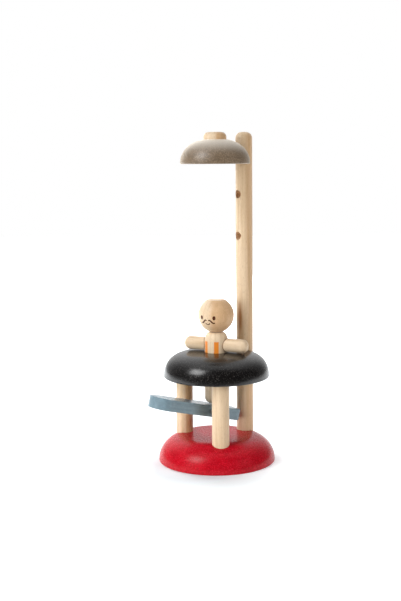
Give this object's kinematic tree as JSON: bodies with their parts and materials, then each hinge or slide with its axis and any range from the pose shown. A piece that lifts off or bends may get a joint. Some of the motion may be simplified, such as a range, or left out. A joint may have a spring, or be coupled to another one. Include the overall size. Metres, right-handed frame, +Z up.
{
  "type": "wooden acrobat toy",
  "caption": "Desk-size wooden acrobat toy: pressing a rocker lever throws a magnet-headed figure up from a round deck to catch a hat plugged into a pole.",
  "frame": {"origin": "centre of the base disc's flat underside, on the common axis of base, deck, figure and hat", "axes": "+Z up along the pole; +X from the centre to the pole; the lever's handle points along -X"},
  "size_m": [0.1293, 0.11, 0.3101],
  "materials": {
    "natural_wood": "smooth sanded natural rubberwood dowel",
    "figure_wood": "smooth natural wood with orange braces and a small painted face",
    "red_stain": "satin red stain on fine speckled wood",
    "black_stain": "satin black stain on fine speckled wood",
    "grey_stain": "matt grey-brown stain on fine speckled wood",
    "blue_stain": "satin grey-blue stain",
    "steel": "plain steel",
    "dark_steel": "blackened steel",
    "magnet": "nickel plated"
  },
  "bodies": {
    "stand": {"base": "red_stain", "deck": "black_stain", "pole": "natural_wood", "left_post": "natural_wood", "right_post": "natural_wood", "post_screws": "steel"},
    "lever": {"lever": "blue_stain", "lever_axle": "steel"},
    "figure": {"torso": "figure_wood", "head": "figure_wood", "neck_dowel": "natural_wood", "arms": "figure_wood", "head_magnet": "magnet", "head_plug": "natural_wood"},
    "hat": {"hat_dome": "grey_stain", "hat_knob": "natural_wood", "hat_screw": "dark_steel", "hat_peg": "natural_wood"}
  },
  "joints": [
    {"name": "figure_throw", "type": "slide", "parent": "stand", "child": "figure", "axis": [0, 0, 1], "range_m": [0, 0.1326]},
    {"name": "lever_press", "type": "hinge", "parent": "stand", "child": "lever", "pos_m": [-0.0169, 0, 0.0509], "axis": [0, -1, 0], "range_deg": [0, 54]},
    {"name": "hat_unplug", "type": "slide", "parent": "stand", "child": "hat", "axis": [-1, 0, 0], "range_m": [0, 0.009]}
  ],
  "couplings": [
    {"joint": "lever_press", "follows": "figure_throw", "rad_per_m": 7.1}
  ]
}
